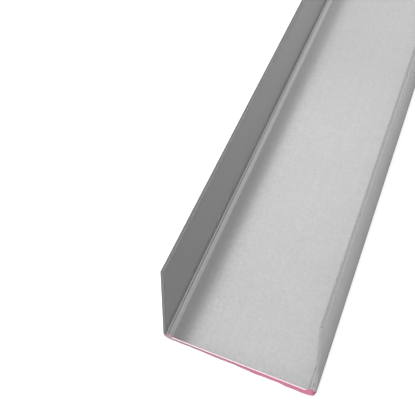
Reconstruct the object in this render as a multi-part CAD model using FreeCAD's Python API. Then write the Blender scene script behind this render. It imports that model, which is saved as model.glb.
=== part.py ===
"""Drywall track: one strip of galvanised sheet steel roll-formed into a U channel."""
import FreeCAD, Part
import math
import os

# Driving sizes, in millimetres and degrees
track_length = 3048.0  # a ten foot stick
inside_width = 41.3  # between the legs, carried down to the web, for a 1 5/8 inch stud
leg_length = 31.75  # 1 1/4 inch, along the outside of a leg from the underside of the web
sheet_thickness = 0.79  # 30 mil sheet
left_lean = 0.0  # the left leg stands square
right_lean = 5.5  # the right leg leans in past square, so that the pair grips a stud
# The rolls turn each corner in two steps, with a narrow sloping flat between them
first_turn = 22.0  # slope of the flat
first_bend_radius = 1.0  # inside radius of the step next to the web
corner_flat = 1.2  # width of the flat
crease_radius = 0.3  # inside radius of the step next to the leg

# Sizes that follow from them
first_angle = math.radians(first_turn)


def corner_reach(lean, offset):
    """How far across and up a skin has come at the ends and middles of a corner's two bends.

    The offset is the skin's depth in the sheet: 0 for the inside, sheet_thickness for the outside.
    """
    full_angle = math.radians(90.0 + lean)
    first_radius = first_bend_radius + offset
    second_radius = crease_radius + offset
    reach = []
    for angle in (0.0, first_angle / 2, first_angle):
        reach.append((first_radius * math.sin(angle), first_radius * (1 - math.cos(angle))))
    flat_across = reach[-1][0] + corner_flat * math.cos(first_angle)
    flat_up = reach[-1][1] + corner_flat * math.sin(first_angle)
    for angle in (first_angle, (first_angle + full_angle) / 2, full_angle):
        across = flat_across + second_radius * (math.sin(angle) - math.sin(first_angle))
        up = flat_up + second_radius * (math.cos(first_angle) - math.cos(angle))
        reach.append((across, up))
    return reach


def skin_points(side, lean, offset):
    """Points of one skin of the sheet, from the flat of the web to the tip of a leg."""
    lean_angle = math.radians(lean)
    inside_across, inside_up = corner_reach(lean, 0.0)[-1]
    half_web = inside_width / 2 - inside_across - inside_up * math.tan(lean_angle)
    outside_up = corner_reach(lean, sheet_thickness)[-1][1]
    flat_leg = leg_length - outside_up / math.cos(lean_angle)
    reach = corner_reach(lean, offset)
    foot_across, foot_up = reach[-1]
    tip_across = foot_across - flat_leg * math.sin(lean_angle)
    tip_up = foot_up + flat_leg * math.cos(lean_angle)
    skin_height = sheet_thickness - offset
    points = []
    for across, up in reach + [(tip_across, tip_up)]:
        points.append(FreeCAD.Vector(side * (half_web + across), -track_length / 2, skin_height + up))
    return points


def skin_edges(points):
    """Edges of one skin from the web to a leg's tip: bend, flat, bend and leg."""
    web_end, first_middle, flat_start, flat_end, second_middle, leg_foot, leg_tip = points
    return [
        Part.Arc(web_end, first_middle, flat_start).toShape(),
        Part.LineSegment(flat_start, flat_end).toShape(),
        Part.Arc(flat_end, second_middle, leg_foot).toShape(),
        Part.LineSegment(leg_foot, leg_tip).toShape(),
    ]


def track_section():
    """Closed outline of the sheet's section, in the plane of one cut end."""
    edges = []
    tips = {-1: [], 1: []}
    for offset in (0.0, sheet_thickness):
        web_ends = []
        for side, lean in ((-1, left_lean), (1, right_lean)):
            points = skin_points(side, lean, offset)
            edges += skin_edges(points)
            web_ends.append(points[0])
            tips[side].append(points[-1])
        edges.append(Part.LineSegment(web_ends[0], web_ends[1]).toShape())
    for side in (-1, 1):
        edges.append(Part.LineSegment(tips[side][0], tips[side][1]).toShape())
    return Part.Face(Part.Wire(Part.__sortEdges__(edges)))


def track_channel():
    """The section carried along the whole stick, with both ends cut square."""
    return track_section().extrude(FreeCAD.Vector(0, track_length, 0))


os.makedirs("parts", exist_ok=True)
track_channel().exportStep("parts/track_channel.step")
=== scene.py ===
"""A length of galvanised drywall track on a white studio floor, with its paint mark towards the camera."""
import math

import bmesh
import bpy
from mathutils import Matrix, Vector


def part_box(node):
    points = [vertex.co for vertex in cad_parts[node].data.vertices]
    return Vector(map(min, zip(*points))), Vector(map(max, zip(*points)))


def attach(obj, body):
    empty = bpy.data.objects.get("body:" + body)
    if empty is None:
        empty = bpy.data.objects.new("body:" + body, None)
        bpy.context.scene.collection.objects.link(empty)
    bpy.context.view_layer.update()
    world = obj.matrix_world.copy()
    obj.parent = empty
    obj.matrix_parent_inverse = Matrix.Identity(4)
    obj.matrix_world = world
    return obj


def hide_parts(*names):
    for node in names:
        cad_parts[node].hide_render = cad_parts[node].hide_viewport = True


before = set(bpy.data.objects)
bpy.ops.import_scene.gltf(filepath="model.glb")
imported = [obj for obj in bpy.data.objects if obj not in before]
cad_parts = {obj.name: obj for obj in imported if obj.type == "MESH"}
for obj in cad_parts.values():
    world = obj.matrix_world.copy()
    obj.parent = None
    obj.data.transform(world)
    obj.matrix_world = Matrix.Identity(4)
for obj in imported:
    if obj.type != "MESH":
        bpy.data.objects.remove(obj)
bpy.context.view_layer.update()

bl_info = {
    "name": "Drywall Track",
    "version": (1, 0, 0),
    "blender": (4, 5, 0),
    "location": "View3D > Sidebar > Track",
    "description": "Roll-formed galvanised track with a painted end, and a studio to show it in",
    "category": "Object",
}

MM = 0.001
CHANNEL_NODE = "track_channel"
# How far the finished mesh may be from the CAD box before the operator stops
BOX_TOLERANCE = 0.6 * MM


def linear(code):
    """An sRGB hex colour, such as #C8C9CA, as linear red, green and blue."""
    shares = [int(code[i:i + 2], 16) / 255 for i in (1, 3, 5)]
    return tuple(s / 12.92 if s <= 0.04045 else ((s + 0.055) / 1.055) ** 2.4 for s in shares)


def add_node(tree, kind, settings=None, inputs=None):
    """Adds a node, sets its properties, and fills its sockets with values or links."""
    node = tree.nodes.new(kind)
    for name, value in (settings or {}).items():
        setattr(node, name, value)
    for name, value in (inputs or {}).items():
        if isinstance(value, bpy.types.NodeSocket):
            tree.links.new(value, node.inputs[name])
        else:
            node.inputs[name].default_value = value
    return node


class TrackChannelSizes(bpy.types.PropertyGroup):
    """Section of the channel and the colours of its sheet"""

    inside_width: bpy.props.FloatProperty(
        name="Inside Width", description="Between the legs where they leave the web",
        default=41.3 * MM, unit="LENGTH", precision=4)
    leg_length: bpy.props.FloatProperty(
        name="Leg Length", description="Along the outside of a leg from the underside of the web",
        default=31.75 * MM, unit="LENGTH", precision=4)
    sheet_thickness: bpy.props.FloatProperty(
        name="Sheet Thickness", description="Thickness of the sheet before forming",
        default=0.79 * MM, unit="LENGTH", precision=5)
    left_lean: bpy.props.FloatProperty(
        name="Left Lean", description="How far the left leg leans in past square",
        default=math.radians(0.0), subtype="ANGLE")
    right_lean: bpy.props.FloatProperty(
        name="Right Lean", description="How far the right leg leans in past square",
        default=math.radians(5.5), subtype="ANGLE")
    first_turn: bpy.props.FloatProperty(
        name="First Turn", description="How far the first step of a corner turns the sheet",
        default=math.radians(22.0), subtype="ANGLE")
    first_bend_radius: bpy.props.FloatProperty(
        name="First Bend Radius", description="Inside radius of the first step of a corner",
        default=1.0 * MM, unit="LENGTH", precision=4)
    corner_flat: bpy.props.FloatProperty(
        name="Corner Flat", description="Sloping flat between the two steps of a corner",
        default=1.2 * MM, unit="LENGTH", precision=4)
    crease_radius: bpy.props.FloatProperty(
        name="Crease Radius", description="Inside radius of the second step of a corner",
        default=0.3 * MM, unit="LENGTH", precision=5)
    roll_mark: bpy.props.FloatProperty(
        name="Roll Mark", description="Length of the riser and of the ledge on the inside of a crease",
        default=0.36 * MM, unit="LENGTH", precision=5)
    shear_rollover: bpy.props.FloatProperty(
        name="Shear Rollover", description="Length of the slope on the inside of each cut end",
        default=0.31 * MM, unit="LENGTH", precision=5)
    slit_edge_radius: bpy.props.FloatProperty(
        name="Slit Edge Radius", description="Rounding of the corners along the top of each leg",
        default=0.12 * MM, unit="LENGTH", precision=5)
    cut_skew: bpy.props.FloatProperty(
        name="Cut Skew", description="How far the painted end of the web is out of square at each corner",
        default=0.43 * MM, unit="LENGTH", precision=5)
    edge_wave: bpy.props.FloatProperty(
        name="Edge Wave", description="Most that the top of a leg wanders in or out along the length",
        default=0.12 * MM, unit="LENGTH", precision=5)
    zinc_light: bpy.props.FloatVectorProperty(
        name="Light Zinc", description="Brighter crystals of the zinc coat",
        default=linear("#CFCFCF"), subtype="COLOR", min=0.0, max=1.0)
    zinc_dark: bpy.props.FloatVectorProperty(
        name="Dark Zinc", description="Duller crystals of the zinc coat",
        default=linear("#C5C5C5"), subtype="COLOR", min=0.0, max=1.0)
    cut_steel: bpy.props.FloatVectorProperty(
        name="Cut Steel", description="Bare steel where the stick was sheared off",
        default=linear("#9C9C9C"), subtype="COLOR", min=0.0, max=1.0)
    # Partly painted shade: the pink trace of the paint is real, and the darker tone stands in for shade on
    # the cut face of the web above the paint
    stained_and_shaded_steel: bpy.props.FloatVectorProperty(
        name="Stained Steel, Painted Shade", description="Dark, pinkish end of the web above the paint",
        default=linear("#8F767E"), subtype="COLOR", min=0.0, max=1.0)
    burnished_steel: bpy.props.FloatVectorProperty(
        name="Burnished Steel", description="Light slope along the painted end, with a trace of pink",
        default=linear("#D9C1CA"), subtype="COLOR", min=0.0, max=1.0)
    # Painted light: a lighter copy of the cut steel, which the right leg's cut edges and the right corner
    # of the painted end take, where light falls brighter; the same cuts on the left keep the darker cut
    # steel
    painted_light_cut_steel: bpy.props.FloatVectorProperty(
        name="Cut Steel, Painted Lighter", description="Cut edges of the right leg, paler than the other cuts",
        default=linear("#C9C9C9"), subtype="COLOR", min=0.0, max=1.0)


class TrackPaintSettings(bpy.types.PropertyGroup):
    """Paint mark on the near end of the web"""

    paint_colour: bpy.props.FloatVectorProperty(
        name="Paint", description="Marking paint where it lies thick",
        default=linear("#D07E9B"), subtype="COLOR", min=0.0, max=1.0)
    thin_colour: bpy.props.FloatVectorProperty(
        name="Thin Paint", description="Marking paint where the metal shows through",
        default=linear("#DDBDC8"), subtype="COLOR", min=0.0, max=1.0)
    left_coat: bpy.props.FloatProperty(
        name="Left Coat", description="How far the paint stands out of the cut on the left of the web",
        default=0.145 * MM, unit="LENGTH", precision=5)
    right_coat: bpy.props.FloatProperty(
        name="Right Coat", description="How far the paint stands out of the cut on the right of the web",
        default=0.70 * MM, unit="LENGTH", precision=5)
    left_blob: bpy.props.FloatProperty(
        name="Left Blob", description="What the drop at the left corner adds",
        default=0.12 * MM, unit="LENGTH", precision=5)
    right_blob: bpy.props.FloatProperty(
        name="Right Blob", description="What the drop at the right corner adds",
        default=0.26 * MM, unit="LENGTH", precision=5)
    left_creep: bpy.props.FloatProperty(
        name="Left Creep", description="How far the drop at the left corner runs in along the bend",
        default=0.6 * MM, unit="LENGTH", precision=5)
    right_creep: bpy.props.FloatProperty(
        name="Right Creep", description="How far the drop at the right corner runs in along the bend",
        default=0.35 * MM, unit="LENGTH", precision=5)


class TrackStageSettings(bpy.types.PropertyGroup):
    """Floor, lights and camera"""

    floor_colour: bpy.props.FloatVectorProperty(
        name="Floor", description="White backdrop paper",
        default=linear("#D4D4D4"), subtype="COLOR", min=0.0, max=1.0)
    floor_glow: bpy.props.FloatProperty(
        name="Floor Glow", description="Share of white that the floor adds where it is looked at",
        default=0.68, min=0.0, max=1.0, subtype="FACTOR")
    mirror_share: bpy.props.FloatProperty(
        name="Mirror Share", description="Share of the floor's glow that metal and glass mirror",
        default=0.04, min=0.0, max=1.0, subtype="FACTOR")
    strip_level: bpy.props.FloatProperty(
        name="Near Strip", description="Brightness of the strip over the near part, where 1 is white",
        default=0.61, min=0.0)
    far_strip_level: bpy.props.FloatProperty(
        name="Far Strip", description="Brightness of the strip over the far part, where 1 is white",
        default=0.425, min=0.0)
    flank_level: bpy.props.FloatProperty(
        name="Near Flank", description="Brightness of the panel beside the near strip, where 1 is white",
        default=0.31, min=0.0)
    far_flank_level: bpy.props.FloatProperty(
        name="Far Flank", description="Brightness of the panel beside the far strip, where 1 is white",
        default=0.55, min=0.0)
    right_box_level: bpy.props.FloatProperty(
        name="Right Softbox", description="Brightness of the softbox on the right, where 1 is white",
        default=0.28, min=0.0)
    left_box_level: bpy.props.FloatProperty(
        name="Left Softbox", description="Brightness of the softbox on the left, where 1 is white",
        default=2.4, min=0.0)
    top_level: bpy.props.FloatProperty(
        name="Top Light", description="Brightness of the lamp that metal does not mirror, where 1 is white",
        default=6.3, min=0.0)
    fill_level: bpy.props.FloatProperty(
        name="Fill", description="Brightness of the light in front of the near end, where 1 is white",
        default=1.65, min=0.0)
    room_level: bpy.props.FloatProperty(
        name="Room", description="Brightness of the room above the horizon, where 1 is white",
        default=0.41, min=0.0)
    right_room_level: bpy.props.FloatProperty(
        name="Right Room", description="Brightness of the dim right side of the room, where 1 is white",
        default=0.345, min=0.0)
    far_room_gain: bpy.props.FloatProperty(
        name="Far Room Gain", description="What the far wall of the room adds to that",
        default=0.154, min=0.0)
    camera_place: bpy.props.FloatVectorProperty(
        name="Camera Place", description="Where the camera stands, from the middle of the near end",
        default=(22.49 * MM, -93.26 * MM, 184.97 * MM), subtype="TRANSLATION", unit="LENGTH")
    camera_turn: bpy.props.FloatVectorProperty(
        name="Camera Turn", description="Tilt, roll and heading of the camera",
        default=(math.radians(39.843), math.radians(-0.859), math.radians(21.934)), subtype="EULER")
    camera_lens: bpy.props.FloatProperty(
        name="Lens", description="Focal length in millimetres for a 36 mm wide sensor",
        default=67.06, subtype="DISTANCE_CAMERA")
    camera_shift: bpy.props.FloatVectorProperty(
        name="Lens Shift", description="Shift of the picture sideways and upwards, as shares of its width",
        size=2, default=(0.03, -0.04))


# Facets of each stretch of one half of the section
WEB_FACETS = 14
FIRST_BEND_FACETS = 6
CORNER_FLAT_FACETS = 3
CREASE_FACETS = 9
RISER_FACETS = 4
LEG_FACETS = 14
SLIT_FACETS = 3
# Facets from the middle of the web to a leg, and to where the paint stops on the right
TO_LEG = WEB_FACETS + FIRST_BEND_FACETS + CORNER_FLAT_FACETS + CREASE_FACETS
TO_PAINT_END = TO_LEG - CREASE_FACETS // 2
# Slopes of the two faces of the roll mark
RISER_TURN = math.radians(73)
LEDGE_TURN = math.radians(22)
# Share of the slope's length and steepness in degrees of each step of a cut end's rollover
ROLLOVER_STEPS = ((0.10, 65), (1.00, 40), (0.13, 20), (0.13, 8))
# The legs are drawn down by this share of what the web is
LEG_DRAWN = 0.2
RING_SPACING = 9.0 * MM
# The slant of the painted end has faded out this far along the track
SKEW_REACH = 30.0 * MM
# Length, shift for the side and share of each wave along the top of a leg
LEG_WAVES = ((830.0 * MM, 0.19, 0.65), (310.0 * MM, 0.37, 0.35))
# Most that the web lifts off the floor, and the lengths of its waves
WEB_LIFT = 0.03 * MM
LIFT_ALONG = 147.0 * MM
LIFT_ACROSS = 210.0 * MM
LIFT_SLOW = 410.0 * MM
# Edges sharper than these are shown sharp
STEEL_SHARP = math.radians(40)
PAINT_SHARP = math.radians(60)
# Order of the channel's materials
SKIN, PAINTED_LIGHT_CUT, SHEARED, STAINED_AND_SHADED, BURNISHED = range(5)

# How deep the coat is set into the cut, so that no gap shows, and its thickness over the slope
PAINT_SINK = 0.02 * MM
PAINT_FILM = 0.05 * MM
PAINT_ARC_STEPS = 6
# Shares of the painted width: where the coat begins to swell, from the left, and how far that goes on
SWELL_START = 0.1
SWELL_SPAN = 0.7
# Strength, radians across the painted width and start of each ripple that the brush leaves
BRUSH_RIPPLES = ((0.16, 23.0, 0.0), (0.09, 61.0, 1.0))
# Distance of each drop's middle from its corner, and its spread
LEFT_DROP = (1.0 * MM, 1.5 * MM)
RIGHT_DROP = (0.2 * MM, 1.6 * MM)
# Foot of the coat as a share of the sheet, then its top as a share of the cut and what adds to that
COAT_FOOT = 0.02
COAT_TOP = 0.5
SWELL_TOP = 0.4
DROP_TOP = 0.5
# A drop covers the slope out to where this many times its height is 1
DROP_COVER = 1.6
# Away from the drops the points of the overflow are hidden in the steel: how far below the coat's top,
# as shares of the sheet, and how many sinks deep
HIDDEN_POINTS = ((0.03, 2), (0.06, 3), (0.12, 4))

FLOOR_REACH = 60.0
FLOOR_DROP = 0.02 * MM
LIGHT_HEIGHT = 1.2
# Lights that face down: name, setting of the brightness, whether metal mirrors it, and then its left,
# right, near and far sides in metres from the middle of the painted end
OVERHEAD_LIGHTS = (
    # Two strips in line over the track, which the web mirrors
    ("near strip", "strip_level", True, -0.42, 0.037, 0.33, 1.45),
    ("far strip", "far_strip_level", True, -0.42, 0.037, 1.45, 3.30),
    # Panels along their right edge, which the left side of the web mirrors by way of the left leg
    ("near flank", "flank_level", True, 0.037, 0.20, 0.33, 1.45),
    ("far flank", "far_flank_level", True, 0.037, 0.20, 1.45, 3.30),
    # A wide dim softbox, which the sloping flat of the left corner mirrors
    ("right softbox", "right_box_level", True, 0.565, 1.20, 0.45, 2.80),
    # A bright one on the far left, which the sloping flat of the right corner mirrors
    ("left softbox", "left_box_level", True, -2.10, -1.25, 0.60, 2.20),
    # A lamp that lays the right leg's shadow on the floor beside its foot
    ("top light", "top_level", False, -0.50, -0.09, 0.0, 1.60),
)
# A light in front of the painted end, which the sloping edge of the cut mirrors
FILL_SIDES = (1.2, 0.8)
FILL_ASIDE = -0.1
FILL_BACK = 0.9
FILL_HEIGHT = 0.75
# X parts of a direction between which the room fades to its dim right side
ROOM_RIGHT = (0.16, 0.55)
# Y parts of a direction between which it fades to its lighter far wall
ROOM_FAR = (0.55, 0.85)
# White paper rises to the first angle over the horizon, and there is only the room from the second
PAPER_TOP = math.radians(6)
ROOM_BOTTOM = math.radians(14)
SENSOR_WIDTH = 36.0
NEAREST_SEEN = 0.01


def corner_reach(sizes, offset, full_turn):
    """How far a skin goes across and up in one corner, at an offset outside the inside skin."""
    step = sizes.first_turn
    first = sizes.first_bend_radius + offset
    crease = sizes.crease_radius + offset
    across = (first * math.sin(step) + sizes.corner_flat * math.cos(step)
              + crease * (math.sin(full_turn) - math.sin(step)))
    up = (first * (1 - math.cos(step)) + sizes.corner_flat * math.sin(step)
          + crease * (math.cos(step) - math.cos(full_turn)))
    return across, up


def heading(turn):
    """Direction of the sheet, as (x, z), after it has turned up from the web by an angle."""
    return Vector((math.cos(turn), math.sin(turn)))


def outward(turn):
    """Direction out of the channel, square to the sheet, after it has turned by an angle."""
    return Vector((math.sin(turn), -math.cos(turn)))


def half_section(sizes, lean):
    """Pairs of inside and outside points, as (x, z), from the middle of the web to the tip of a leg."""
    thickness = sizes.sheet_thickness
    step = sizes.first_turn
    full_turn = math.pi / 2 + lean
    across, up = corner_reach(sizes, 0.0, full_turn)
    web_half = sizes.inside_width / 2 - across - up * math.tan(lean)
    pairs = []
    for i in range(WEB_FACETS + 1):
        x = web_half * i / WEB_FACETS
        pairs.append((Vector((x, thickness)), Vector((x, 0.0))))

    bend_centre = pairs[-1][0] - sizes.first_bend_radius * outward(0.0)
    for i in range(1, FIRST_BEND_FACETS + 1):
        spoke = outward(step * i / FIRST_BEND_FACETS)
        pairs.append((bend_centre + spoke * sizes.first_bend_radius,
                      bend_centre + spoke * (sizes.first_bend_radius + thickness)))

    # The inside of the flat stops short of the crease, where the roll mark begins
    flat_start = pairs[-1]
    mark = heading(RISER_TURN) * sizes.roll_mark + heading(LEDGE_TURN) * sizes.roll_mark
    mark_start = (web_half + across - mark.x - flat_start[0].x) / math.cos(step)
    for i in range(1, CORNER_FLAT_FACETS + 1):
        share = i / CORNER_FLAT_FACETS
        pairs.append((flat_start[0] + heading(step) * mark_start * share,
                      flat_start[1] + heading(step) * sizes.corner_flat * share))

    inside = pairs[-1][0]
    crease_centre = flat_start[0] + heading(step) * sizes.corner_flat - outward(step) * sizes.crease_radius
    for i in range(1, CREASE_FACETS + 1):
        on_riser = min(1.0, i / RISER_FACETS)
        on_ledge = max(0.0, (i - RISER_FACETS) / (CREASE_FACETS - RISER_FACETS))
        climb = heading(RISER_TURN) * on_riser + heading(LEDGE_TURN) * on_ledge
        spoke = outward(step + (full_turn - step) * i / CREASE_FACETS)
        pairs.append((inside + climb * sizes.roll_mark,
                      crease_centre + spoke * (sizes.crease_radius + thickness)))

    leg_foot = pairs[-1]
    leg_run = sizes.leg_length - leg_foot[1].y / math.cos(lean) - sizes.slit_edge_radius
    top_outside = leg_foot[1] + heading(full_turn) * leg_run
    top_inside = top_outside - outward(full_turn) * thickness
    for i in range(1, LEG_FACETS + 1):
        share = i / LEG_FACETS
        pairs.append((leg_foot[0].lerp(top_inside, share), leg_foot[1].lerp(top_outside, share)))
    for i in range(1, SLIT_FACETS + 1):
        angle = math.pi / 2 * i / SLIT_FACETS
        rise = heading(full_turn) * sizes.slit_edge_radius * math.sin(angle)
        inset = outward(full_turn) * sizes.slit_edge_radius * (1 - math.cos(angle))
        pairs.append((top_inside + rise + inset, top_outside + rise - inset))
    return pairs


def section_stations(sizes):
    """Pairs of inside and outside points of the sheet, as (x, z), from the left tip to the right tip."""
    left = half_section(sizes, sizes.left_lean)
    right = half_section(sizes, sizes.right_lean)
    mirrored = [(Vector((-a.x, a.y)), Vector((-b.x, b.y))) for a, b in reversed(left[1:])]
    return mirrored + right


def rollover_profile(slope_length):
    """Steps in from a cut end, each with the distance from it and how far the inside skin is drawn down."""
    spans = [(slope_length * share * math.cos(math.radians(angle)),
              slope_length * share * math.sin(math.radians(angle))) for share, angle in ROLLOVER_STEPS]
    distance = 0.0
    depth = sum(fall for run, fall in spans)
    profile = [(distance, depth)]
    for run, fall in spans:
        distance += run
        depth -= fall
        profile.append((distance, depth))
    return profile


def ring_places(length, slope_length):
    """Places along the track, each with how far the inside skin is drawn down there."""
    half = length / 2
    profile = rollover_profile(slope_length)
    near = [(-half + distance, depth) for distance, depth in profile]
    far = [(half - distance, depth) for distance, depth in reversed(profile)]
    inner_length = far[0][0] - near[-1][0]
    spans = round(inner_length / RING_SPACING)
    plain = [(near[-1][0] + inner_length * i / spans, 0.0) for i in range(1, spans)]
    return near + plain + far


def wave(turns):
    """Sine of an angle that is given in turns."""
    return math.sin(2 * math.pi * turns)


def leg_wander(y, side):
    """Share of the edge wave at a place along one leg, from -1 to 1."""
    return sum(share * wave(y / length + step * side) for length, step, share in LEG_WAVES)


def web_lift(y, x):
    """Rise of the web off the floor left by the rollers."""
    along = 0.5 + 0.5 * wave(y / LIFT_ALONG + x / LIFT_ACROSS)
    slow = 0.5 + 0.5 * wave(y / LIFT_SLOW)
    return WEB_LIFT * along * slow


def end_skew(point, from_end, sizes):
    """How far the slanting cut of the web moves a section point along the track, near the painted end."""
    fade = max(0.0, 1.0 - max(0.0, from_end) / SKEW_REACH)
    at_foot = 1.0 - min(1.0, max(0.0, point.y / sizes.leg_length))
    return -sizes.cut_skew * point.x / (sizes.inside_width / 2) * at_foot * fade


def worn_point(point, y, near_end, sizes):
    """A section point moved by the slant of the painted end and by the small waves that rolling leaves."""
    height = min(1.0, max(0.0, point.y / sizes.leg_length))
    side = 1 if point.x > 0 else -1
    sway = sizes.edge_wave * leg_wander(y, side) * height ** 2
    skew = end_skew(point, y - near_end, sizes)
    return Vector((point.x + sway, y + skew, point.y + web_lift(y, point.x)))


def new_material(name):
    """A new material, its node tree and its Principled shader."""
    material = bpy.data.materials.new(name)
    material.use_nodes = True
    tree = material.node_tree
    return material, tree, tree.nodes["Principled BSDF"]


def mixed_colour(tree, factor, first, second):
    """Socket with a mix of two linear colours, by a factor that comes from a socket."""
    node = add_node(tree, "ShaderNodeMix", {"data_type": "RGBA"}, {"Factor": factor})
    # The node has sockets of the same names for other types, so the colours go by number
    node.inputs[6].default_value = (*first, 1.0)
    node.inputs[7].default_value = (*second, 1.0)
    return node.outputs[2]


def weighted_sum(tree, first, weight, second):
    """Socket with one value times a weight plus another value."""
    node = add_node(tree, "ShaderNodeMath", {"operation": "MULTIPLY_ADD"}, {0: first, 1: weight, 2: second})
    return node.outputs["Value"]


def galvanised_sheet(sizes):
    """Galvanised steel, temper rolled: a satin grey mirror with faint grain, clouds and roll lines."""
    material, tree, shader = new_material("galvanised steel, temper rolled")
    place = add_node(tree, "ShaderNodeTexCoord").outputs["Object"]
    # Temper rolling breaks the zinc crystals down to a few millimetres
    crystal_size = 2.2 * MM
    crystals = add_node(tree, "ShaderNodeTexVoronoi", {"voronoi_dimensions": "3D"},
                        {"Vector": place, "Scale": 1 / crystal_size, "Randomness": 1.0})
    crystal_tone = add_node(tree, "ShaderNodeSeparateColor", None, {"Color": crystals.outputs["Color"]})
    # Uneven cooling leaves soft clouds a few centimetres wide
    cloud_size = 28 * MM
    clouds = add_node(tree, "ShaderNodeTexNoise", None,
                      {"Vector": place, "Scale": 1 / cloud_size, "Detail": 3.0, "Roughness": 0.55})
    # Roll lines are under a millimetre wide and about a quarter of a metre long
    line_width = 0.8 * MM
    line_length = 260 * MM
    stretched = add_node(tree, "ShaderNodeMapping", None,
                         {"Vector": place, "Scale": (1 / line_width, 1 / line_length, 1 / line_width)})
    lines = add_node(tree, "ShaderNodeTexNoise", None,
                     {"Vector": stretched.outputs["Vector"], "Scale": 1.0, "Detail": 2.0, "Roughness": 0.6})
    # Grit of the work rolls is under 0.1 mm and is drawn coarser, so that it shows
    grit_size = 0.45 * MM
    grit = add_node(tree, "ShaderNodeTexNoise", None,
                    {"Vector": place, "Scale": 1 / grit_size, "Detail": 2.0, "Roughness": 0.5})
    # Grain of the zinc, under a millimetre, shows more than the crystals and the clouds
    grain_size = 0.9 * MM
    grain = add_node(tree, "ShaderNodeTexNoise", None,
                     {"Vector": place, "Scale": 1 / grain_size, "Detail": 2.0, "Roughness": 0.6})

    crystal_weight = 0.35
    line_weight = 0.3
    cloud_weight = 0.3
    crystal_and_cloud = weighted_sum(tree, crystal_tone.outputs["Red"], crystal_weight,
                                     clouds.outputs["Fac"])
    grain_and_lines = weighted_sum(tree, lines.outputs["Fac"], line_weight, grain.outputs["Fac"])
    tone = add_node(tree, "ShaderNodeMapRange", None,
                    {"Value": weighted_sum(tree, crystal_and_cloud, cloud_weight, grain_and_lines),
                     "From Min": 0.55, "From Max": 1.15})
    colour = mixed_colour(tree, tone.outputs["Result"], sizes.zinc_dark, sizes.zinc_light)
    tree.links.new(colour, shader.inputs["Base Color"])
    rough = add_node(tree, "ShaderNodeMapRange", None,
                     {"Value": crystal_and_cloud, "From Min": 0.3, "From Max": 1.0,
                      "To Min": 0.215, "To Max": 0.195})
    tree.links.new(rough.outputs["Result"], shader.inputs["Roughness"])
    line_relief = 0.5
    bump = add_node(tree, "ShaderNodeBump", None,
                    {"Height": weighted_sum(tree, lines.outputs["Fac"], line_relief, grit.outputs["Fac"]),
                     "Strength": 0.10, "Distance": 0.004 * MM})
    tree.links.new(bump.outputs["Normal"], shader.inputs["Normal"])
    shader.inputs["Metallic"].default_value = 1.0
    return material


def cut_steel(name, base_colour):
    """Bare low-carbon steel, cut through: dull, in the colour that is given, with fine tear lines."""
    material, tree, shader = new_material(name)
    place = add_node(tree, "ShaderNodeTexCoord").outputs["Object"]
    # Tear lines are about 0.05 mm apart and are drawn coarser, so that they show
    tear_spacing = 0.35 * MM
    tears = add_node(tree, "ShaderNodeTexNoise", None,
                     {"Vector": place, "Scale": 1 / tear_spacing, "Detail": 3.0, "Roughness": 0.65})
    tear_contrast = 0.15
    darker = [(1 - tear_contrast) * c for c in base_colour]
    lighter = [min(1.0, (1 + tear_contrast) * c) for c in base_colour]
    tree.links.new(mixed_colour(tree, tears.outputs["Fac"], darker, lighter), shader.inputs["Base Color"])
    bump = add_node(tree, "ShaderNodeBump", None,
                    {"Height": tears.outputs["Fac"], "Strength": 0.5, "Distance": 0.03 * MM})
    tree.links.new(bump.outputs["Normal"], shader.inputs["Normal"])
    shader.inputs["Metallic"].default_value = 1.0
    shader.inputs["Roughness"].default_value = 0.55
    return material


def burnished_steel(sizes):
    """Galvanised steel burnished by the shear blade: a narrow bright line with a trace of pink in it."""
    material, _, shader = new_material("galvanised steel, burnished by the shear")
    shader.inputs["Base Color"].default_value = (*sizes.burnished_steel, 1.0)
    shader.inputs["Metallic"].default_value = 1.0
    shader.inputs["Roughness"].default_value = 0.3
    return material


def marking_paint(settings):
    """Alkyd marking paint, brushed on: pink, glossy where thick, paler and duller where it runs thin."""
    material, tree, shader = new_material("alkyd marking paint, brushed on")
    place = add_node(tree, "ShaderNodeTexCoord").outputs["Object"]
    across = add_node(tree, "ShaderNodeSeparateXYZ", None, {"Vector": place})
    # Patches left by the brush are a few millimetres long
    patch_size = 3.5 * MM
    patches = add_node(tree, "ShaderNodeTexNoise", None,
                       {"Vector": place, "Scale": 1 / patch_size, "Detail": 3.0, "Roughness": 0.6})
    # The cover grows from the left corner to a little right of the middle
    spread = add_node(tree, "ShaderNodeMapRange", None,
                      {"Value": across.outputs["X"], "From Min": -20 * MM, "From Max": 8 * MM,
                       "To Min": -0.3, "To Max": 0.75})
    patch_weight = 0.7
    cover = add_node(tree, "ShaderNodeMath", {"operation": "MULTIPLY_ADD", "use_clamp": True},
                     {0: patches.outputs["Fac"], 1: patch_weight, 2: spread.outputs["Result"]})
    colour = mixed_colour(tree, cover.outputs["Value"], settings.thin_colour, settings.paint_colour)
    tree.links.new(colour, shader.inputs["Base Color"])
    bump = add_node(tree, "ShaderNodeBump", None,
                    {"Height": patches.outputs["Fac"], "Strength": 0.4, "Distance": 0.05 * MM})
    tree.links.new(bump.outputs["Normal"], shader.inputs["Normal"])
    gloss = add_node(tree, "ShaderNodeMapRange", None,
                     {"Value": cover.outputs["Value"], "To Min": 0.48, "To Max": 0.28})
    tree.links.new(gloss.outputs["Result"], shader.inputs["Roughness"])
    shader.inputs["IOR"].default_value = 1.5
    return material


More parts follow.
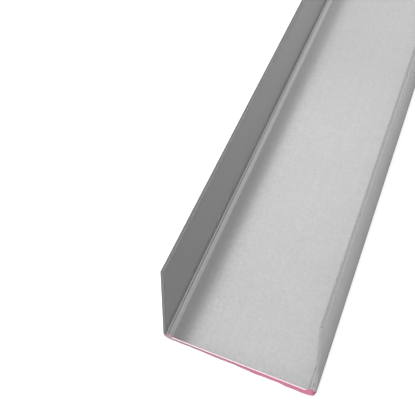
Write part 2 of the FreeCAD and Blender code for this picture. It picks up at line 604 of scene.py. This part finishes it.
def backdrop_paper(settings):
    """White backdrop paper, smooth and matt: no gloss, and only a trace of fibre in its tone."""
    material, tree, shader = new_material("backdrop paper, matt")
    tree.nodes.remove(shader)
    place = add_node(tree, "ShaderNodeTexCoord").outputs["Object"]
    fibre_size = 3.0 * MM
    fibres = add_node(tree, "ShaderNodeTexNoise", None,
                      {"Vector": place, "Scale": 1 / fibre_size, "Detail": 2.0})
    fibre_tone = 0.985
    darker = [fibre_tone * c for c in settings.floor_colour]
    matt = add_node(tree, "ShaderNodeBsdfDiffuse", None,
                    {"Color": mixed_colour(tree, fibres.outputs["Fac"], darker, settings.floor_colour)})
    # White is added for what is seen or mirrored, and the shaded part of the floor keeps the shadow
    light_path = add_node(tree, "ShaderNodeLightPath")
    mirrored = add_node(tree, "ShaderNodeMath", {"operation": "ADD"},
                        {0: light_path.outputs["Is Glossy Ray"],
                         1: light_path.outputs["Is Transmission Ray"]})
    seen = add_node(tree, "ShaderNodeMath", {"operation": "MULTIPLY_ADD", "use_clamp": True},
                    {0: mirrored.outputs["Value"], 1: settings.mirror_share,
                     2: light_path.outputs["Is Camera Ray"]})
    level = add_node(tree, "ShaderNodeMath", {"operation": "MULTIPLY"},
                     {0: seen.outputs["Value"], 1: settings.floor_glow})
    glow = add_node(tree, "ShaderNodeEmission", None,
                    {"Color": (1.0, 1.0, 1.0, 1.0), "Strength": level.outputs["Value"]})
    both = add_node(tree, "ShaderNodeAddShader", None,
                    {0: matt.outputs["BSDF"], 1: glow.outputs["Emission"]})
    tree.links.new(both.outputs["Shader"], tree.nodes["Material Output"].inputs["Surface"])
    return material


def shown_object(name, data):
    """Puts a mesh, a light or a camera into the scene under a name."""
    made = bpy.data.objects.new(name, data)
    bpy.context.scene.collection.objects.link(made)
    return made


def settled_mesh(name, points, faces, finishes, sharp_angle):
    """A mesh with outward faces, smooth but for edges sharper than the angle."""
    mesh = bpy.data.meshes.new(name)
    mesh.from_pydata(points, [], faces)
    mesh.polygons.foreach_set("material_index", finishes)
    shell = bmesh.new()
    shell.from_mesh(mesh)
    bmesh.ops.recalc_face_normals(shell, faces=shell.faces)
    shell.to_mesh(mesh)
    shell.free()
    mesh.shade_smooth()
    mesh.set_sharp_from_angle(angle=sharp_angle)
    mesh.update()
    return mesh


def ring_loop(stations, drawn, sizes):
    """Section points round the sheet: along the inside from left to right, then back along the outside."""
    inside = []
    for inner, outer in stations:
        into_sheet = (outer - inner).normalized()
        # The blade comes down on the web, so the legs are cut edge on and are hardly drawn
        share = 1.0 if inner.y < 2 * sizes.sheet_thickness else LEG_DRAWN
        inside.append(inner + into_sheet * drawn * share)
    return inside + [outer for inner, outer in reversed(stations)]


def tube_faces(rings, around):
    """Faces between each ring of points and the next, ring by ring."""
    faces = []
    for ring in range(rings - 1):
        a = ring * around
        for k in range(around):
            n = (k + 1) % around
            faces.append((a + k, a + n, a + around + n, a + around + k))
    return faces


def skin_finish(ring, k, count):
    """Material of a face along the track, from its ring and its place round the sheet."""
    # The inside skin ends at the tip of the right leg and the outside skin at the tip of the left one
    # Painted light: the top edge of the right leg takes the lighter copy of the cut steel, and that of the
    # left leg the darker one
    if k == count - 1:
        return PAINTED_LIGHT_CUT
    if k == 2 * count - 1:
        return SHEARED
    on_web = -TO_LEG <= k - count // 2 < TO_LEG
    return BURNISHED if on_web and ring < len(ROLLOVER_STEPS) else SKIN


def cut_finish(k, count, painted):
    """Material of a face of a cut end, from its place across the sheet."""
    from_middle = k - count // 2
    # Painted light: the right corner and leg of a cut end take the lighter copy of the cut steel
    if from_middle >= TO_PAINT_END - 1:
        return PAINTED_LIGHT_CUT
    # The rest of the painted end takes the stained steel, which is darker as painted shade
    return STAINED_AND_SHADED if painted and abs(from_middle) < TO_LEG else SHEARED


class TRACK_OT_channel(bpy.types.Operator):
    """Builds the roll-formed channel in place of the plain CAD solid"""

    bl_idname = "track.channel"
    bl_label = "Rolled Channel"

    def execute(self, context):
        sizes = context.scene.track_channel_sizes
        low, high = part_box(CHANNEL_NODE)
        stations = section_stations(sizes)
        places = ring_places(high[1] - low[1], sizes.shear_rollover)
        points = []
        for y, drawn in places:
            points.extend(worn_point(p, y, low[1], sizes) for p in ring_loop(stations, drawn, sizes))
        count = len(stations)
        around = 2 * count
        faces = tube_faces(len(places), around)
        finishes = [skin_finish(ring, k, count) for ring in range(len(places) - 1) for k in range(around)]
        for a in (0, (len(places) - 1) * around):
            for k in range(count - 1):
                faces.append((a + k, a + k + 1, a + around - 2 - k, a + around - 1 - k))
                finishes.append(cut_finish(k, count, painted=a == 0))
        mesh = settled_mesh("rolled_channel", points, faces, finishes, STEEL_SHARP)
        mesh.materials.append(galvanised_sheet(sizes))
        # A lighter copy of the cut steel, which paints light on the right leg's cuts
        mesh.materials.append(cut_steel("low-carbon steel, painted lighter", sizes.painted_light_cut_steel))
        mesh.materials.append(cut_steel("low-carbon steel, sheared", sizes.cut_steel))
        # Pink stain and painted shade on the web's painted end
        mesh.materials.append(cut_steel("low-carbon steel, stained, with painted shade", sizes.stained_and_shaded_steel))
        mesh.materials.append(burnished_steel(sizes))
        piece = shown_object("rolled_channel", mesh)
        for axis in range(3):
            ends = [p[axis] for p in points]
            if abs(min(ends) - low[axis]) > BOX_TOLERANCE or abs(max(ends) - high[axis]) > BOX_TOLERANCE:
                raise RuntimeError("the rolled channel doesn't fill the CAD channel's box")
        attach(piece, "root")
        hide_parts(CHANNEL_NODE)
        return {"FINISHED"}


def drop_height(distance, spread):
    """Height of a drop of paint at a distance from its middle, where 1 is the most."""
    return math.exp(-(distance / spread) ** 2)


def paint_profile(from_left, from_right, sizes, settings):
    """Section of the coat between the corners, as shares of the sheet and distances from the end."""
    rollover = rollover_profile(sizes.shear_rollover)
    slope_run = rollover[-1][0]
    slope_fall = rollover[0][1]
    film = PAINT_FILM / sizes.sheet_thickness
    lip = 1 - slope_fall / sizes.sheet_thickness

    share = from_left / (from_left + from_right)
    swell = min(1.0, max(0.0, (share - SWELL_START) / SWELL_SPAN))
    left_drop = drop_height(from_left - LEFT_DROP[0], LEFT_DROP[1])
    right_drop = drop_height(from_right - RIGHT_DROP[0], RIGHT_DROP[1])
    drop = max(left_drop, right_drop)
    coat = settings.left_coat + (settings.right_coat - settings.left_coat) * swell
    coat *= 1 + sum(strength * math.sin(waves * share + start) for strength, waves, start in BRUSH_RIPPLES)
    coat += settings.left_blob * left_drop + settings.right_blob * right_drop
    # Between the drops the coat covers only the lower part of the cut
    top = lip * min(1.0, COAT_TOP + SWELL_TOP * swell + DROP_TOP * drop)
    profile = []
    for step in range(PAINT_ARC_STEPS + 1):
        angle = math.pi * step / PAINT_ARC_STEPS
        up = COAT_FOOT + (top - COAT_FOOT) * (1 - math.cos(angle)) / 2
        profile.append((up, PAINT_SINK - (coat + PAINT_SINK) * math.sin(angle)))

    # The drops run over the slope and in along the bend, and elsewhere these points stay inside the steel
    cover = min(1.0, DROP_COVER * drop)
    creep = settings.left_creep * left_drop + settings.right_creep * right_drop
    over = ((lip + film, -PAINT_FILM), (1 + film, slope_run), (1 - film / 2, slope_run + creep))
    for (below, sinks), (up_over, y_over) in zip(HIDDEN_POINTS, over):
        up = top - below
        y = sinks * PAINT_SINK
        profile.append((up + (up_over - up) * cover, y + (y_over - y) * cover))
    return profile


class TRACK_OT_end_paint(bpy.types.Operator):
    """Builds the coat of marking paint on the near cut end of the web"""

    bl_idname = "track.end_paint"
    bl_label = "Painted End"

    def execute(self, context):
        sizes = context.scene.track_channel_sizes
        settings = context.scene.track_paint_settings
        near_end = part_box(CHANNEL_NODE)[0][1]
        stations = section_stations(sizes)
        middle = len(stations) // 2
        painted = stations[middle - TO_LEG:middle + TO_PAINT_END]
        left_corner = painted[0][0].x
        right_corner = painted[-1][0].x
        points = []
        for inner, outer in painted:
            profile = paint_profile(inner.x - left_corner, right_corner - inner.x, sizes, settings)
            for up, y in profile:
                spot = outer + (inner - outer) * up
                points.append(Vector((spot.x, near_end + y + end_skew(spot, y, sizes), spot.y)))
        around = len(profile)
        faces = tube_faces(len(painted), around)
        faces.append(tuple(range(around)))
        faces.append(tuple(range(len(points) - around, len(points))))
        mesh = settled_mesh("end_paint", points, faces, [0] * len(faces), PAINT_SHARP)
        mesh.materials.append(marking_paint(settings))
        piece = shown_object("end_paint", mesh)
        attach(piece, "root")
        return {"FINISHED"}


def studio_floor(settings):
    """A wide sheet of backdrop paper just under the track."""
    corners = [(-1, -1), (1, -1), (1, 1), (-1, 1)]
    mesh = bpy.data.meshes.new("floor")
    mesh.from_pydata([(FLOOR_REACH * x, FLOOR_REACH * y, -FLOOR_DROP) for x, y in corners],
                     [], [(0, 1, 2, 3)])
    mesh.materials.append(backdrop_paper(settings))
    return shown_object("floor", mesh)


def softbox(name, sides, place, turn, level):
    """A flat light whose face is as bright as the level says, hidden from the camera."""
    data = bpy.data.lights.new(name, "AREA")
    data.shape = "RECTANGLE"
    data.size, data.size_y = sides
    data.energy = level * math.pi * sides[0] * sides[1]
    light = shown_object(name, data)
    light.location = place
    light.rotation_euler = turn
    light.visible_camera = False
    return light


def studio_lights(settings, near_end):
    """The overhead lights and the one in front of the painted end."""
    for name, level, mirrored, left, right, near, far in OVERHEAD_LIGHTS:
        place = ((left + right) / 2, near_end + (near + far) / 2, LIGHT_HEIGHT)
        light = softbox(name, (right - left, far - near), place, (0.0, 0.0, 0.0),
                        getattr(settings, level))
        light.visible_glossy = mirrored
    fill_tilt = math.atan2(FILL_BACK, FILL_HEIGHT)
    softbox("end fill", FILL_SIDES, (FILL_ASIDE, near_end - FILL_BACK, FILL_HEIGHT),
            (fill_tilt, 0.0, 0.0), settings.fill_level)


def studio_room(settings):
    """A grey room over white paper: dimmer on its right side and lighter at its far wall."""
    world = bpy.data.worlds.new("studio room")
    world.use_nodes = True
    tree = world.node_tree
    direction = add_node(tree, "ShaderNodeTexCoord").outputs["Generated"]
    part = add_node(tree, "ShaderNodeSeparateXYZ", None, {"Vector": direction})
    across = add_node(tree, "ShaderNodeMapRange", None,
                      {"Value": part.outputs["X"], "From Min": ROOM_RIGHT[0], "From Max": ROOM_RIGHT[1],
                       "To Min": settings.room_level, "To Max": settings.right_room_level})
    along = add_node(tree, "ShaderNodeMapRange", None,
                     {"Value": part.outputs["Y"], "From Min": ROOM_FAR[0], "From Max": ROOM_FAR[1],
                      "To Min": 0.0, "To Max": settings.far_room_gain})
    room = add_node(tree, "ShaderNodeMath", {"operation": "ADD"},
                    {0: across.outputs["Result"], 1: along.outputs["Result"]})
    level = add_node(tree, "ShaderNodeMapRange", None,
                     {"Value": part.outputs["Z"], "From Min": math.sin(PAPER_TOP),
                      "From Max": math.sin(ROOM_BOTTOM), "To Min": 1.0, "To Max": room.outputs["Value"]})
    background = tree.nodes["Background"]
    background.inputs["Color"].default_value = (1.0, 1.0, 1.0, 1.0)
    tree.links.new(level.outputs["Result"], background.inputs["Strength"])
    return world


def studio_camera(settings, near_end):
    """The camera, placed from the middle of the painted end."""
    data = bpy.data.cameras.new("camera")
    data.sensor_width = SENSOR_WIDTH
    data.lens = settings.camera_lens
    data.shift_x, data.shift_y = settings.camera_shift
    data.clip_start = NEAREST_SEEN
    camera = shown_object("camera", data)
    camera.location = Vector((0.0, near_end, 0.0)) + Vector(settings.camera_place)
    camera.rotation_euler = settings.camera_turn
    return camera


class TRACK_OT_stage(bpy.types.Operator):
    """Builds the floor, the lights and the camera"""

    bl_idname = "track.stage"
    bl_label = "Studio"

    def execute(self, context):
        scene = context.scene
        settings = scene.track_stage_settings
        near_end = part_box(CHANNEL_NODE)[0][1]
        scene.view_settings.view_transform = "Standard"
        studio_floor(settings)
        studio_lights(settings, near_end)
        scene.world = studio_room(settings)
        scene.camera = studio_camera(settings, near_end)
        return {"FINISHED"}


class TRACK_PT_sidebar(bpy.types.Panel):
    """Lists the pieces of the track and the studio"""

    bl_label = "Drywall Track"
    bl_space_type = "VIEW_3D"
    bl_region_type = "UI"
    bl_category = "Track"

    def draw(self, context):
        scene = context.scene
        groups = (
            (TRACK_OT_channel, scene.track_channel_sizes),
            (TRACK_OT_end_paint, scene.track_paint_settings),
            (TRACK_OT_stage, scene.track_stage_settings),
        )
        for operator, settings in groups:
            box = self.layout.box()
            box.operator(operator.bl_idname)
            for name in settings.__annotations__:
                box.prop(settings, name)


CLASSES = (
    TrackChannelSizes,
    TrackPaintSettings,
    TrackStageSettings,
    TRACK_OT_channel,
    TRACK_OT_end_paint,
    TRACK_OT_stage,
    TRACK_PT_sidebar,
)


def register():
    """Registers the classes and gives the scene their settings."""
    for kind in CLASSES:
        bpy.utils.register_class(kind)
    bpy.types.Scene.track_channel_sizes = bpy.props.PointerProperty(type=TrackChannelSizes)
    bpy.types.Scene.track_paint_settings = bpy.props.PointerProperty(type=TrackPaintSettings)
    bpy.types.Scene.track_stage_settings = bpy.props.PointerProperty(type=TrackStageSettings)


def unregister():
    """Takes the settings and the classes away again."""
    del bpy.types.Scene.track_stage_settings
    del bpy.types.Scene.track_paint_settings
    del bpy.types.Scene.track_channel_sizes
    for kind in reversed(CLASSES):
        bpy.utils.unregister_class(kind)


def main():
    register()
    bpy.ops.track.channel()
    bpy.ops.track.end_paint()
    bpy.ops.track.stage()


if __name__ == "__main__":
    main()
